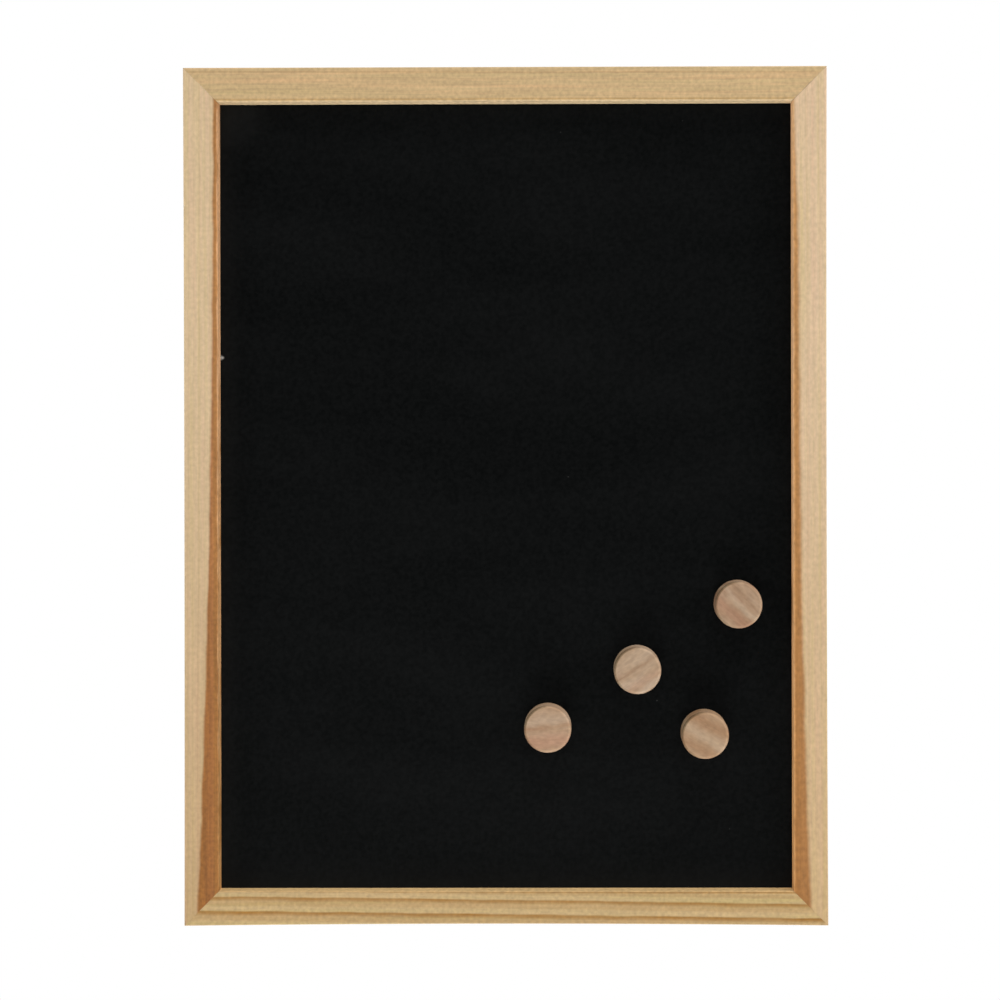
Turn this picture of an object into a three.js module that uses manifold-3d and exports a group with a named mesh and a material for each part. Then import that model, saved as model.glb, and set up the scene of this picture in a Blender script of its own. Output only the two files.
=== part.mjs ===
// A magnetic chalkboard in a pine frame, 300 x 400 mm, with four round wooden magnets on it.
//
// Millimetres, +Z up. Seen from the front the viewer looks along +Y, with +X to the right.
// The origin is the point where the board hangs on its wall nail: mid width, in the teeth of
// the upper hanger, on the plane of the rails' back faces.
//
// The frame is four mitred rails of one moulding. A painted steel sheet, glued to a hardboard
// backing, drops into the rebate from behind and is held there by framer's points. A V-nail
// holds each mitre. Each magnet is a beech disc with a flat round magnet let into its back.

import * as THREE from "three";
import { mergeVertices } from "three/addons/utils/BufferGeometryUtils.js";
import Module from "manifold-3d";

const wasm = await Module();
wasm.setup();

// Frame moulding
const frameWidth = 300;
const frameHeight = 400;
const railWidth = 16; // seen from the front
const railDepth = 16; // front face to back face
const arrisRadius = 0.8;
const mitreGap = 0.3; // the glue line, square to the mitre

// Rebate and what lies in it
const lipThickness = 6; // wood in front of the writing sheet
const rebateWidth = 6;
const seatClearance = 0.2; // lip to sheet
const sheetThickness = 0.5;
const glueThickness = 0.2; // sheet to backing, and magnet to disc
const backingThickness = 2.5;
const edgeClearance = 0.8; // rebate wall to sheet and backing

// V-nails across the mitres
const vNailArm = 6;
const vNailThickness = 0.6;
const vNailHeight = 8;
const vNailSink = 0.2; // below the rails' back faces

// Framer's points
const pointWidth = 6;
const pointThickness = 0.5;
const pointEmbed = 6; // in the wood
const pointReach = 6; // out over the backing
const pointTip = 3; // length of the tapered tip

// Sawtooth hangers
const hangerLength = 40;
const hangerHeight = 7;
const hangerThickness = 0.8;
const hangerRise = 1.6; // the toothed bridge stands this far off the wood
const hangerEar = 8; // length of each flat end
const hangerRamp = 2; // length of the step up from an ear to the bridge
const hangerCorner = 2;
const toothMargin = 1; // plain stretch at each end of the bridge
const toothDepth = 1.2;

// Hanger nails
const nailDiameter = 1.3;
const nailLength = 9; // under the head
const nailTip = 1.5;
const nailHeadDiameter = 3.2;
const nailHeadThickness = 0.6;

// Wooden magnets
const discDiameter = 22;
const discThickness = 8;
const discFrontRadius = 0.7; // round-over of the front edge
const discBackRadius = 0.4;
const magnetDiameter = 12;
const magnetThickness = 3;

// How loosely hardware sits in the slot or hole that its driving made, on every side
const driveClearance = 0.3;
// How far a cutting solid runs past the face that it cuts
const cutOverrun = 1;

// Counts of straight pieces in round shapes, and of teeth
const arcSegments = 3;
const holeSegments = 12;
const discSegments = 40;
const toothCount = 9;

// Places along a rail of its framer's points, as shares of half the opening
const railPointShares = [-0.55, 0.55];
const stilePointShares = [-0.7, 0, 0.7];

// Centres of the wooden magnets, as shares of how far each can go from the middle of the
// opening to its side and to its top
const discPlaceShares = [
  [0.159, -0.625],
  [0.499, -0.468],
  [0.881, -0.292],
  [0.754, -0.642],
];

// Sizes that follow from the ones above
const openingWidth = frameWidth - 2 * railWidth;
const openingHeight = frameHeight - 2 * railWidth;
const landWidth = railWidth - rebateWidth; // the rail's back face
const rebateDepth = railDepth - lipThickness;
const sheetFront = rebateDepth - seatClearance; // in front of the back plane
const backingFront = sheetFront - sheetThickness - glueThickness;
const backingBack = backingFront - backingThickness;
const boardWidth = openingWidth + 2 * (rebateWidth - edgeClearance);
const boardHeight = openingHeight + 2 * (rebateWidth - edgeClearance);
const vNailInset = (landWidth - vNailArm) / 2; // outer edge of the frame to the V-nail
const hangerInset = (landWidth - hangerHeight) / 2; // outer edge of the frame to the hanger
const hangerBridge = hangerLength - 2 * (hangerEar + hangerRamp);
const toothSpan = hangerBridge - 2 * toothMargin;
const nailPlace = (hangerLength - hangerEar) / 2; // mid length to a nail, mid ear
const nailRadius = nailDiameter / 2;
const nailHoleRadius = nailRadius + driveClearance;
const hangDrop = hangerInset + hangerHeight - toothDepth; // top of the frame to the teeth

const pine = { color: 0xcbab7d, roughness: 0.6, metalness: 0 };
const blackEnamel = { color: 0x101110, roughness: 0.85, metalness: 0 };
const hardboard = { color: 0x6b4a2f, roughness: 0.8, metalness: 0 };
const steel = { color: 0xa9abad, roughness: 0.4, metalness: 1 };
const brassedSteel = { color: 0xc0a062, roughness: 0.35, metalness: 1 };
const beech = { color: 0xb99c7e, roughness: 0.65, metalness: 0 };
const nickel = { color: 0xb5b2aa, roughness: 0.25, metalness: 1 };

function namedMesh(name, geometry, finish) {
  const mesh = new THREE.Mesh(geometry, new THREE.MeshStandardMaterial(finish));
  mesh.name = name;
  return mesh;
}

// A closed geometry as a solid that can cut and be cut
function toSolid(geometry) {
  const bare = geometry.clone();
  bare.deleteAttribute("normal");
  bare.deleteAttribute("uv");
  const merged = mergeVertices(bare);
  return new wasm.Manifold(
    new wasm.Mesh({
      numProp: 3,
      vertProperties: merged.attributes.position.array,
      triVerts: new Uint32Array(merged.index.array),
    }),
  );
}

function toGeometry(solid) {
  const mesh = solid.getMesh();
  const geometry = new THREE.BufferGeometry();
  geometry.setAttribute("position", new THREE.BufferAttribute(mesh.vertProperties, 3));
  geometry.setIndex(new THREE.BufferAttribute(mesh.triVerts, 1));
  const faceted = geometry.toNonIndexed();
  faceted.computeVertexNormals();
  return faceted;
}

// An outline drawn on the back of the frame, x to the right and y up, as a solid that goes
// forwards from a plane this far behind the rails' back faces
function extrudeForwards(outline, depth, behind) {
  const settings = { depth, bevelEnabled: false, curveSegments: holeSegments };
  const geometry = new THREE.ExtrudeGeometry(outline, settings);
  geometry.rotateX(Math.PI / 2);
  geometry.translate(0, behind, 0);
  return geometry;
}

function outlineOf(points) {
  return new THREE.Shape(points.map(([x, y]) => new THREE.Vector2(x, y)));
}

// Section of the moulding: x from the outer edge inwards, y from the back face forwards
function railSection() {
  const section = new THREE.Shape();
  const round = arrisRadius;
  section.moveTo(landWidth, 0);
  section.lineTo(landWidth, rebateDepth);
  section.lineTo(railWidth, rebateDepth);
  section.absarc(railWidth - round, railDepth - round, round, 0, Math.PI / 2, false);
  section.absarc(round, railDepth - round, round, Math.PI / 2, Math.PI, false);
  section.absarc(round, round, round, Math.PI, 1.5 * Math.PI, false);
  return section;
}

// A length of moulding with both ends mitred, lying as the bottom rail of a frame that is
// this high, centred on the frame's middle
function mitredRail(length, span) {
  const settings = { depth: length, bevelEnabled: false, curveSegments: arcSegments };
  const geometry = new THREE.ExtrudeGeometry(railSection(), settings);
  const points = geometry.attributes.position;
  for (let i = 0; i < points.count; i += 1) {
    const inwards = points.getX(i);
    const forwards = points.getY(i);
    const reach = length / 2 - inwards - mitreGap / Math.SQRT2;
    const along = points.getZ(i) > length / 2 ? reach : -reach;
    points.setXYZ(i, along, -forwards, inwards - span / 2);
  }
  return geometry;
}

// A V-nail's section: two arms from a corner near the frame's corner, one into each rail.
// side is 1 at a rail's left end and -1 at its right end.
function vNailOutline(side, grow) {
  const near = vNailInset - grow;
  const inner = vNailInset + vNailThickness + grow;
  const far = vNailInset + vNailArm + grow;
  const corners = [
    [near, near],
    [far, near],
    [far, inner],
    [inner, inner],
    [inner, far],
    [near, far],
  ];
  return outlineOf(corners.map(([x, y]) => [side * x, y]));
}

function vNailSlot(side) {
  const depth = cutOverrun + vNailSink + vNailHeight + driveClearance;
  return extrudeForwards(vNailOutline(side, driveClearance), depth, cutOverrun);
}

// A framer's point: a flat tab with a tapered tip, drawn from the rebate wall
function framersPoint() {
  const half = pointWidth / 2;
  const outline = outlineOf([
    [-half, pointReach],
    [-half, pointTip - pointEmbed],
    [0, -pointEmbed],
    [half, pointTip - pointEmbed],
    [half, pointReach],
  ]);
  return extrudeForwards(outline, pointThickness, 0);
}

function pointSlot() {
  const half = pointWidth / 2 + driveClearance;
  const outline = outlineOf([
    [-half, cutOverrun],
    [-half, -pointEmbed - driveClearance],
    [half, -pointEmbed - driveClearance],
    [half, cutOverrun],
  ]);
  const depth = pointThickness + 2 * driveClearance;
  return extrudeForwards(outline, depth, driveClearance);
}

// The hanger seen from behind, with its teeth on the upper edge and a hole in each ear
function hangerOutline() {
  const end = hangerLength / 2;
  const round = hangerCorner;
  const pitch = toothSpan / toothCount;
  const outline = new THREE.Shape();
  outline.absarc(round - end, round, round, Math.PI, 1.5 * Math.PI, false);
  outline.absarc(end - round, round, round, 1.5 * Math.PI, 2 * Math.PI, false);
  outline.absarc(end - round, hangerHeight - round, round, 0, Math.PI / 2, false);
  for (let i = 0; i < toothCount; i += 1) {
    const start = toothSpan / 2 - i * pitch;
    outline.lineTo(start, hangerHeight);
    outline.lineTo(start - pitch / 2, hangerHeight - toothDepth);
  }
  outline.lineTo(-toothSpan / 2, hangerHeight);
  outline.absarc(round - end, hangerHeight - round, round, Math.PI / 2, Math.PI, false);
  for (const x of [-nailPlace, nailPlace]) {
    const hole = new THREE.Path();
    hole.absarc(x, hangerHeight / 2, nailHoleRadius, 0, 2 * Math.PI, true);
    outline.holes.push(hole);
  }
  return outline;
}

// The strip seen from above: flat ears on the wood and a raised bridge between them
function hangerStrip() {
  const end = hangerLength / 2;
  const step = hangerBridge / 2 + hangerRamp;
  const top = hangerBridge / 2;
  const under = [
    [-end, 0],
    [-step, 0],
    [-top, hangerRise],
    [top, hangerRise],
    [step, 0],
    [end, 0],
  ];
  const over = under.map(([x, y]) => [x, y + hangerThickness]).reverse();
  const settings = { depth: hangerHeight, bevelEnabled: false };
  return new THREE.ExtrudeGeometry(outlineOf([...under, ...over]), settings);
}

function hangerGeometry() {
  const behind = hangerRise + hangerThickness + cutOverrun;
  const face = extrudeForwards(hangerOutline(), behind + cutOverrun, behind);
  return toGeometry(toSolid(hangerStrip()).intersect(toSolid(face)));
}

// A nail pointing forwards, with the underside of its head at zero
function nailGeometry() {
  const head = nailHeadDiameter / 2;
  const profile = [
    [0, -nailLength],
    [nailRadius, nailTip - nailLength],
    [nailRadius, 0],
    [head, 0],
    [head, nailHeadThickness / 2],
    [head / 2, nailHeadThickness],
    [0, nailHeadThickness],
  ];
  const points = profile.map(([r, y]) => new THREE.Vector2(r, y));
  return new THREE.LatheGeometry(points, holeSegments);
}

function nailPilot() {
  const depth = nailLength - hangerThickness + driveClearance + cutOverrun;
  const hole = new THREE.CylinderGeometry(nailHoleRadius, nailHoleRadius, depth, holeSegments);
  hole.translate(0, cutOverrun - depth / 2, 0);
  return hole;
}

// One side of the frame as a group that is built lying as the bottom rail: the rail itself, the
// V-nail at its left end, its framer's points and, where it has one, its hanger.
// span is how far the frame reaches across from this side.
function frameSide({ name, label, corner, length, span, opening, pointShares, hanger }) {
  const side = new THREE.Group();
  const outerEdge = -span / 2;
  const rebateWall = outerEdge + landWidth;
  const cutters = [];

  const leftNail = extrudeForwards(vNailOutline(1, 0), vNailHeight, -vNailSink);
  const vNail = namedMesh(`v_nail_${corner}`, leftNail, steel);
  vNail.position.set(-length / 2, 0, outerEdge);
  side.add(vNail);
  cutters.push(vNailSlot(1).translate(-length / 2, 0, outerEdge));
  cutters.push(vNailSlot(-1).translate(length / 2, 0, outerEdge));

  pointShares.forEach((share, i) => {
    const along = (share * opening) / 2;
    const point = namedMesh(`framers_point_${label}_${i + 1}`, framersPoint(), steel);
    point.position.set(along, pointThickness - backingBack, rebateWall);
    side.add(point);
    cutters.push(pointSlot().translate(along, pointThickness - backingBack, rebateWall));
  });

  if (hanger) {
    const plate = namedMesh(`sawtooth_hanger_${label}`, hangerGeometry(), brassedSteel);
    plate.position.z = outerEdge + hangerInset;
    side.add(plate);
    [-nailPlace, nailPlace].forEach((along, i) => {
      const height = outerEdge + landWidth / 2;
      const nail = namedMesh(`hanger_nail_${label}_${i + 1}`, nailGeometry(), steel);
      nail.position.set(along, hangerThickness, height);
      side.add(nail);
      cutters.push(nailPilot().translate(along, 0, height));
    });
  }

  let wood = toSolid(mitredRail(length, span));
  for (const cutter of cutters) {
    wood = wood.subtract(toSolid(cutter));
  }
  side.add(namedMesh(name, toGeometry(wood), pine));
  return side;
}

// A beech disc with the pocket for its magnet, its back face at zero and its front at +Y
function discGeometry() {
  const radius = discDiameter / 2;
  const pocketRadius = magnetDiameter / 2 + glueThickness;
  const pocketDepth = magnetThickness + glueThickness;
  const points = [
    new THREE.Vector2(0, pocketDepth),
    new THREE.Vector2(pocketRadius, pocketDepth),
    new THREE.Vector2(pocketRadius, 0),
  ];
  const back = discBackRadius;
  for (let i = 0; i <= arcSegments; i += 1) {
    const angle = (i / arcSegments) * (Math.PI / 2);
    const out = radius - back + back * Math.sin(angle);
    points.push(new THREE.Vector2(out, back - back * Math.cos(angle)));
  }
  const front = discFrontRadius;
  for (let i = 0; i <= arcSegments; i += 1) {
    const angle = (i / arcSegments) * (Math.PI / 2);
    const out = radius - front + front * Math.cos(angle);
    points.push(new THREE.Vector2(out, discThickness - front + front * Math.sin(angle)));
  }
  points.push(new THREE.Vector2(0, discThickness));
  return new THREE.LatheGeometry(points, discSegments);
}

function magnetGeometry() {
  const radius = magnetDiameter / 2;
  const geometry = new THREE.CylinderGeometry(radius, radius, magnetThickness, discSegments);
  geometry.translate(0, magnetThickness / 2, 0);
  return geometry;
}

// A wooden magnet standing on the writing sheet at its share of the opening
function woodenMagnet(number, [acrossShare, upShare]) {
  const group = new THREE.Group();
  const acrossReach = (openingWidth - discDiameter) / 2;
  const upReach = (openingHeight - discDiameter) / 2;
  group.add(namedMesh(`wooden_disc_${number}`, discGeometry(), beech));
  group.add(namedMesh(`disc_magnet_${number}`, magnetGeometry(), nickel));
  group.rotation.x = Math.PI;
  group.position.set(acrossShare * acrossReach, -sheetFront, upShare * upReach);
  return group;
}

// A flat board filling the rebate, its front face this far in front of the back plane
function boardInRebate(name, thickness, front, finish) {
  const geometry = new THREE.BoxGeometry(boardWidth, thickness, boardHeight);
  const board = namedMesh(name, geometry, finish);
  board.position.y = thickness / 2 - front;
  return board;
}

// The four sides, each turned about the middle of the frame from the bottom rail's place
const rail = {
  length: frameWidth,
  span: frameHeight,
  opening: openingWidth,
  pointShares: railPointShares,
};
const stile = {
  length: frameHeight,
  span: frameWidth,
  opening: openingHeight,
  pointShares: stilePointShares,
};
const sides = [
  { ...rail, name: "bottom_rail", label: "bottom", corner: "bottom_left", hanger: false },
  { ...stile, name: "left_stile", label: "left", corner: "top_left", hanger: false },
  { ...rail, name: "top_rail", label: "top", corner: "top_right", hanger: true },
  { ...stile, name: "right_stile", label: "right", corner: "bottom_right", hanger: true },
];

// The chalkboard about the middle of its frame
const chalkboard = new THREE.Group();
sides.forEach((settings, quarter) => {
  const side = frameSide(settings);
  side.rotation.y = (quarter * Math.PI) / 2;
  chalkboard.add(side);
});
chalkboard.add(
  boardInRebate("steel_writing_sheet", sheetThickness, sheetFront, blackEnamel),
  boardInRebate("backing_board", backingThickness, backingFront, hardboard),
);
discPlaceShares.forEach((shares, i) => chalkboard.add(woodenMagnet(i + 1, shares)));

// Hung by the upper hanger's teeth
chalkboard.position.z = hangDrop - frameHeight / 2;
const part = new THREE.Group();
part.add(chalkboard);

export default part;
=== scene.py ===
import math

import bmesh
import bpy
from mathutils import Matrix, Vector


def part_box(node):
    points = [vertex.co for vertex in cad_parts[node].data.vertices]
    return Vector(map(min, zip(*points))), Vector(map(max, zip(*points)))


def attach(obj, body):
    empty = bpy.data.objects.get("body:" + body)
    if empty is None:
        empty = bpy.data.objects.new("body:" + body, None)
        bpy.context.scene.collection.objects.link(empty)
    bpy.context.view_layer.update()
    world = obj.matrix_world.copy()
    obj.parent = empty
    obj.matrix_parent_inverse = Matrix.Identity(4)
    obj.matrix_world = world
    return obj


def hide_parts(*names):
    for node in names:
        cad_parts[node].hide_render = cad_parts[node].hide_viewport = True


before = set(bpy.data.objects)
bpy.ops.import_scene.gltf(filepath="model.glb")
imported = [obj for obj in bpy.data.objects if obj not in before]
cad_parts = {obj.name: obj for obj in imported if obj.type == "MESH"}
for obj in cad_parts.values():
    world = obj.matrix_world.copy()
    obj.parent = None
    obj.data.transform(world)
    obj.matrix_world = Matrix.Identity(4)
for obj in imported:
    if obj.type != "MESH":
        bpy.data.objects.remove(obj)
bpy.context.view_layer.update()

# Pine frame rails
# Four lengths of one planed pine moulding, 16 mm square, with a rebate ploughed out of the
# inner back corner for the board. The ends are sawn to 45 degrees and glued, the arrises are
# eased with abrasive paper, and the whole frame is sealed with a clear matt lacquer.

outer_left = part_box("left_stile")[0].x
outer_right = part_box("right_stile")[1].x
outer_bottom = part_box("bottom_rail")[0].z
outer_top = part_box("top_rail")[1].z
frame_width = outer_right - outer_left
frame_height = outer_top - outer_bottom
frame_middle = Vector(((outer_left + outer_right) / 2, 0, (outer_bottom + outer_top) / 2))
rail_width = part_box("bottom_rail")[1].z - outer_bottom
rail_depth = -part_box("bottom_rail")[0].y
lip_thickness = 0.006
rebate_width = 0.006
land_width = rail_width - rebate_width
arris_radius = 0.0008
inner_arris = 0.0002
glue_line = 0.00001
# Points closer than weld are merged, and lengths closer than same are taken as equal
weld = 1e-7
same = 1e-6
smooth_up_to = math.radians(35)


def in_place(turn, point):
    """Where a point of a side that lies as the bottom rail comes once the side is turned"""
    return Matrix.Rotation(turn, 3, "Y") @ Vector(point) + frame_middle


def turn_into_place(shape, turn):
    """The same for everything in a mesh"""
    bmesh.ops.rotate(shape, verts=shape.verts, cent=(0, 0, 0), matrix=Matrix.Rotation(turn, 3, "Y"))
    bmesh.ops.translate(shape, verts=shape.verts, vec=frame_middle)


def as_piece(shape, name, crease=smooth_up_to):
    """A finished mesh as a piece of the scene, its edges sharper than crease kept crisp"""
    bmesh.ops.remove_doubles(shape, verts=shape.verts, dist=weld)
    bmesh.ops.recalc_face_normals(shape, faces=shape.faces)
    mesh = bpy.data.meshes.new(name)
    shape.to_mesh(mesh)
    shape.free()
    mesh.shade_smooth()
    mesh.set_sharp_from_angle(angle=crease)
    piece = bpy.data.objects.new(name, mesh)
    bpy.context.scene.collection.objects.link(piece)
    return piece


def cut_out(piece, tool):
    """Takes the tool's shape out of the piece, and does away with the tool"""
    cutting = piece.modifiers.new("cutting", "BOOLEAN")
    cutting.operation = "DIFFERENCE"
    cutting.solver = "EXACT"
    cutting.object = tool
    view = bpy.context.evaluated_depsgraph_get()
    whole = piece.data
    piece_name = whole.name
    trimmed = bpy.data.meshes.new_from_object(piece.evaluated_get(view))
    piece.modifiers.remove(cutting)
    piece.data = trimmed
    bpy.data.meshes.remove(whole)
    trimmed.name = piece_name
    trimmed.set_sharp_from_angle(angle=smooth_up_to)
    bpy.data.objects.remove(tool)


def flat_shading(piece):
    """Keeps broad faces flat beside small rounded edges"""
    weighting = piece.modifiers.new("weighting", "WEIGHTED_NORMAL")
    weighting.keep_sharp = True


def drawn_out(outline, pull):
    """A flat outline drawn out straight into a bar"""
    shape = bmesh.new()
    shape.faces.new([shape.verts.new(corner) for corner in outline])
    drawn = bmesh.ops.extrude_face_region(shape, geom=shape.faces[:])
    far_end = [item for item in drawn["geom"] if isinstance(item, bmesh.types.BMVert)]
    bmesh.ops.translate(shape, verts=far_end, vec=pull)
    return shape


def round_over(shape, edges, radius, steps):
    """Rounds some edges of a mesh, or with one step only breaks them"""
    bmesh.ops.bevel(
        shape, geom=edges, offset=radius, affect="EDGES", segments=steps, profile=0.5, material=-1
    )


def cut_through(shape, spot, direction, take_off=False):
    """Cuts a mesh along a plane and takes off what lies past it, if asked. Gives the cut's rim."""
    cut = bmesh.ops.bisect_plane(
        shape,
        geom=shape.verts[:] + shape.edges[:] + shape.faces[:],
        dist=weld,
        plane_co=spot,
        plane_no=direction,
        clear_outer=take_off,
    )
    return [item for item in cut["geom_cut"] if isinstance(item, bmesh.types.BMEdge)]


def mitred_rail(name, length, span, turn, hollow):
    """A rail made lying as the bottom rail, its outer edge sanded hollow, and turned into place"""
    section = [
        (0, 0),
        (land_width, 0),
        (land_width, rail_depth - lip_thickness),
        (rail_width, rail_depth - lip_thickness),
        (rail_width, rail_depth),
        (0, rail_depth),
    ]
    corners = [(-length / 2, -depth, inwards - span / 2) for inwards, depth in section]
    shape = drawn_out(corners, (length, 0, 0))
    bmesh.ops.recalc_face_normals(shape, faces=shape.faces)

    eased = []
    broken = []
    for edge in shape.edges:
        first, second = edge.verts
        if abs(first.co.x - second.co.x) < length / 2:
            continue
        inwards = first.co.z + span / 2
        depth = -first.co.y
        at_lip = abs(inwards - rail_width) < same and depth < rail_depth - same
        at_rebate = abs(inwards - land_width) < same
        if at_rebate and depth > same:
            continue
        if at_lip or at_rebate:
            broken.append(edge)
        else:
            eased.append(edge)
    round_over(shape, eased, arris_radius, 4)
    round_over(shape, [edge for edge in broken if edge.is_valid], inner_arris, 1)

    # Cut across its length, so that its outer edge can be sanded hollow, then sawn to 45 degrees
    lengthways = [
        edge for edge in shape.edges if abs(edge.verts[0].co.x - edge.verts[1].co.x) > length / 2
    ]
    bmesh.ops.subdivide_edges(shape, edges=lengthways, cuts=31, use_grid_fill=True)
    for vert in shape.verts:
        outwards = 1 - (vert.co.z + span / 2) / rail_width
        vert.co.z += hollow * outwards * (1 - (2 * vert.co.x / length) ** 2)
    for side in (-1, 1):
        outer_corner = Vector((side * length / 2, 0, -span / 2))
        past_joint = Vector((side, 0, 1)).normalized()
        spot = outer_corner - past_joint * glue_line / 2
        rim = cut_through(shape, spot, past_joint, take_off=True)
        bmesh.ops.holes_fill(shape, edges=rim, sides=0)
    turn_into_place(shape, turn)
    return as_piece(shape, name)


def srgb(hex_colour):
    """A colour written as six hex digits, as Blender's linear red, green, blue and alpha"""
    channels = [int(hex_colour[i : i + 2], 16) / 255 for i in (0, 2, 4)]
    linear = [c / 12.92 if c <= 0.04045 else ((c + 0.055) / 1.055) ** 2.4 for c in channels]
    return (*linear, 1)


def add(tree, kind, inputs=(), stops=(), **settings):
    """A node with its settings, its inputs in order or by name, and a ramp's colour stops.
    An input is a number, a hex colour, a socket, or a node whose first output is meant."""
    node = tree.nodes.new(kind)
    for setting, value in settings.items():
        setattr(node, setting, value)
    open_inputs = [socket for socket in node.inputs if socket.enabled]
    if isinstance(inputs, dict):
        open_inputs = [next(s for s in open_inputs if s.name == name) for name in inputs]
        inputs = inputs.values()
    for socket, value in zip(open_inputs, inputs):
        if isinstance(value, bpy.types.Node):
            value = next(output for output in value.outputs if output.enabled)
        if isinstance(value, bpy.types.NodeSocket):
            tree.links.new(value, socket)
        elif value is not None:
            socket.default_value = srgb(value) if isinstance(value, str) else value
    for number, (position, hex_colour) in enumerate(stops):
        elements = node.color_ramp.elements
        element = elements[number] if number < 2 else elements.new(position)
        element.position = position
        element.color = srgb(hex_colour)
    return node


def new_material(name):
    """An empty material, its tree and the shader that its surface comes from"""
    material = bpy.data.materials.new(name)
    material.use_nodes = True
    tree = material.node_tree
    return material, tree, tree.nodes["Principled BSDF"]


def sealed_pine(name, length, span, turn, wood):
    """Pine planed, sanded and sealed with clear matt lacquer: pale early wood, browner late wood lines,
    fine fibres along the rail, orange heartwood where the rail holds some, and painted light on the
    rounded inner edge and the wall of the recess.
    The pattern is in millimetres: x along the rail, y back from its front, z in from its edge."""
    material, tree, shader = new_material(name)
    place = add(tree, "ShaderNodeTexCoord").outputs["Object"]
    origin = in_place(turn, (0, -rail_depth, -span / 2))
    grain = add(
        tree,
        "ShaderNodeMapping",
        {"Vector": place, "Location": origin, "Rotation": (0, turn, 0), "Scale": (0.001,) * 3},
        vector_type="TEXTURE",
    )
    along, back, inwards = add(tree, "ShaderNodeSeparateXYZ", [grain]).outputs
    share = add(
        tree, "ShaderNodeMath", [along, wood["down"] / (length * 1000), 0.5], operation="MULTIPLY_ADD"
    )

    # What varies in the wood, each with its size in millimetres along the rail, back and
    # inwards. The last five are about twice as coarse as real ones, so that they show
    noises = []
    for size, detail in (
        ((70, 30, 30), 2.0),
        ((16, 7, 7), 2.0),
        ((22, 3, 3), 2.0),
        ((160, 4, 2.6), 3.0),
        ((45, 9, 9), 2.0),
        ((45, 1.6, 1.6), 2.0),
        ((70, 1.1, 1.1), 1.0),
        ((14, 0.9, 0.9), 3.0),
        ((5, 0.6, 0.6), 1.0),
        ((wood["pore_length"], 1.8, 1.8), 1.0),
    ):
        scaled = add(tree, "ShaderNodeMapping", {"Vector": grain, "Scale": [1 / mm for mm in size]})
        noises.append(
            add(tree, "ShaderNodeTexNoise", {"Vector": scaled, "Scale": 1.0, "Detail": detail})
        )
    drift, shiver, patches, streaks, clouds, veins, threads, fibres, dashes, pores = noises

    # Growth rings: cylinders round a pith that lies off the rail, wandering a little. The late
    # wood comes on softly, on one rail after a fainter strip, and ends in a sharp line
    wander = add(tree, "ShaderNodeMath", [drift, -0.5], operation="ADD")
    ripple = add(tree, "ShaderNodeMath", [shiver, -0.5], operation="ADD")
    slanted = add(tree, "ShaderNodeMath", [along, wood["slant"], inwards], operation="MULTIPLY_ADD")
    waved = add(tree, "ShaderNodeMath", [ripple, 0.9, slanted], operation="MULTIPLY_ADD")
    swayed = add(tree, "ShaderNodeMath", [wander, wood["sway"], waved], operation="MULTIPLY_ADD")
    pith_in, pith_back = wood["pith"]
    across = add(tree, "ShaderNodeMath", [swayed, pith_in], operation="SUBTRACT")
    behind = add(tree, "ShaderNodeMath", [back, pith_back], operation="SUBTRACT")
    spoke = add(tree, "ShaderNodeCombineXYZ", [0.0, behind, across])
    radius = add(tree, "ShaderNodeVectorMath", [spoke], operation="LENGTH").outputs["Value"]
    count = add(
        tree, "ShaderNodeMath", [radius, 1 / wood["ring"], wood["phase"]], operation="MULTIPLY_ADD"
    )
    year = add(tree, "ShaderNodeMath", [count], operation="FLOOR")
    season = add(tree, "ShaderNodeMath", [count], operation="FRACT")
    rise = add(
        tree, "ShaderNodeMapRange", [season, wood["late_from"], wood["late_to"], 0.0, 1.0],
        interpolation_type="SMOOTHSTEP",
    )
    tail = add(
        tree, "ShaderNodeMapRange", [season, 0.22, 0.4, 0.0, wood["tail"]],
        interpolation_type="SMOOTHSTEP",
    )
    rise = add(tree, "ShaderNodeMath", [rise, tail], operation="MAXIMUM")
    fall = add(
        tree, "ShaderNodeMapRange", [season, wood["late_to"], 1.0, 1.0, 0.0],
        interpolation_type="SMOOTHSTEP",
    )
    line = add(tree, "ShaderNodeMath", [rise, fall], operation="MULTIPLY")
    vigour = add(tree, "ShaderNodeTexWhiteNoise", [year], noise_dimensions="1D")
    strength = add(
        tree, "ShaderNodeMapRange", [vigour, 0.0, 1.0, wood["faint"], wood["strong"]]
    )
    patch = add(tree, "ShaderNodeMapRange", [patches, 0.3, 0.65, 0.72, 1.0])
    uneven = add(tree, "ShaderNodeMath", [strength, patch], operation="MULTIPLY")
    late = add(tree, "ShaderNodeMath", [line, uneven], operation="MULTIPLY")

    # Sapwood: broad pinkish and greenish-yellow streaks, then the late wood lines
    sapwood = add(
        tree,
        "ShaderNodeValToRGB",
        [streaks],
        [(0.3, wood["yellow"]), (0.5, wood["early"]), (0.7, wood["pink"])],
    )
    ringed = add(tree, "ShaderNodeMix", [late, sapwood, wood["late"]], data_type="RGBA")

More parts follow.
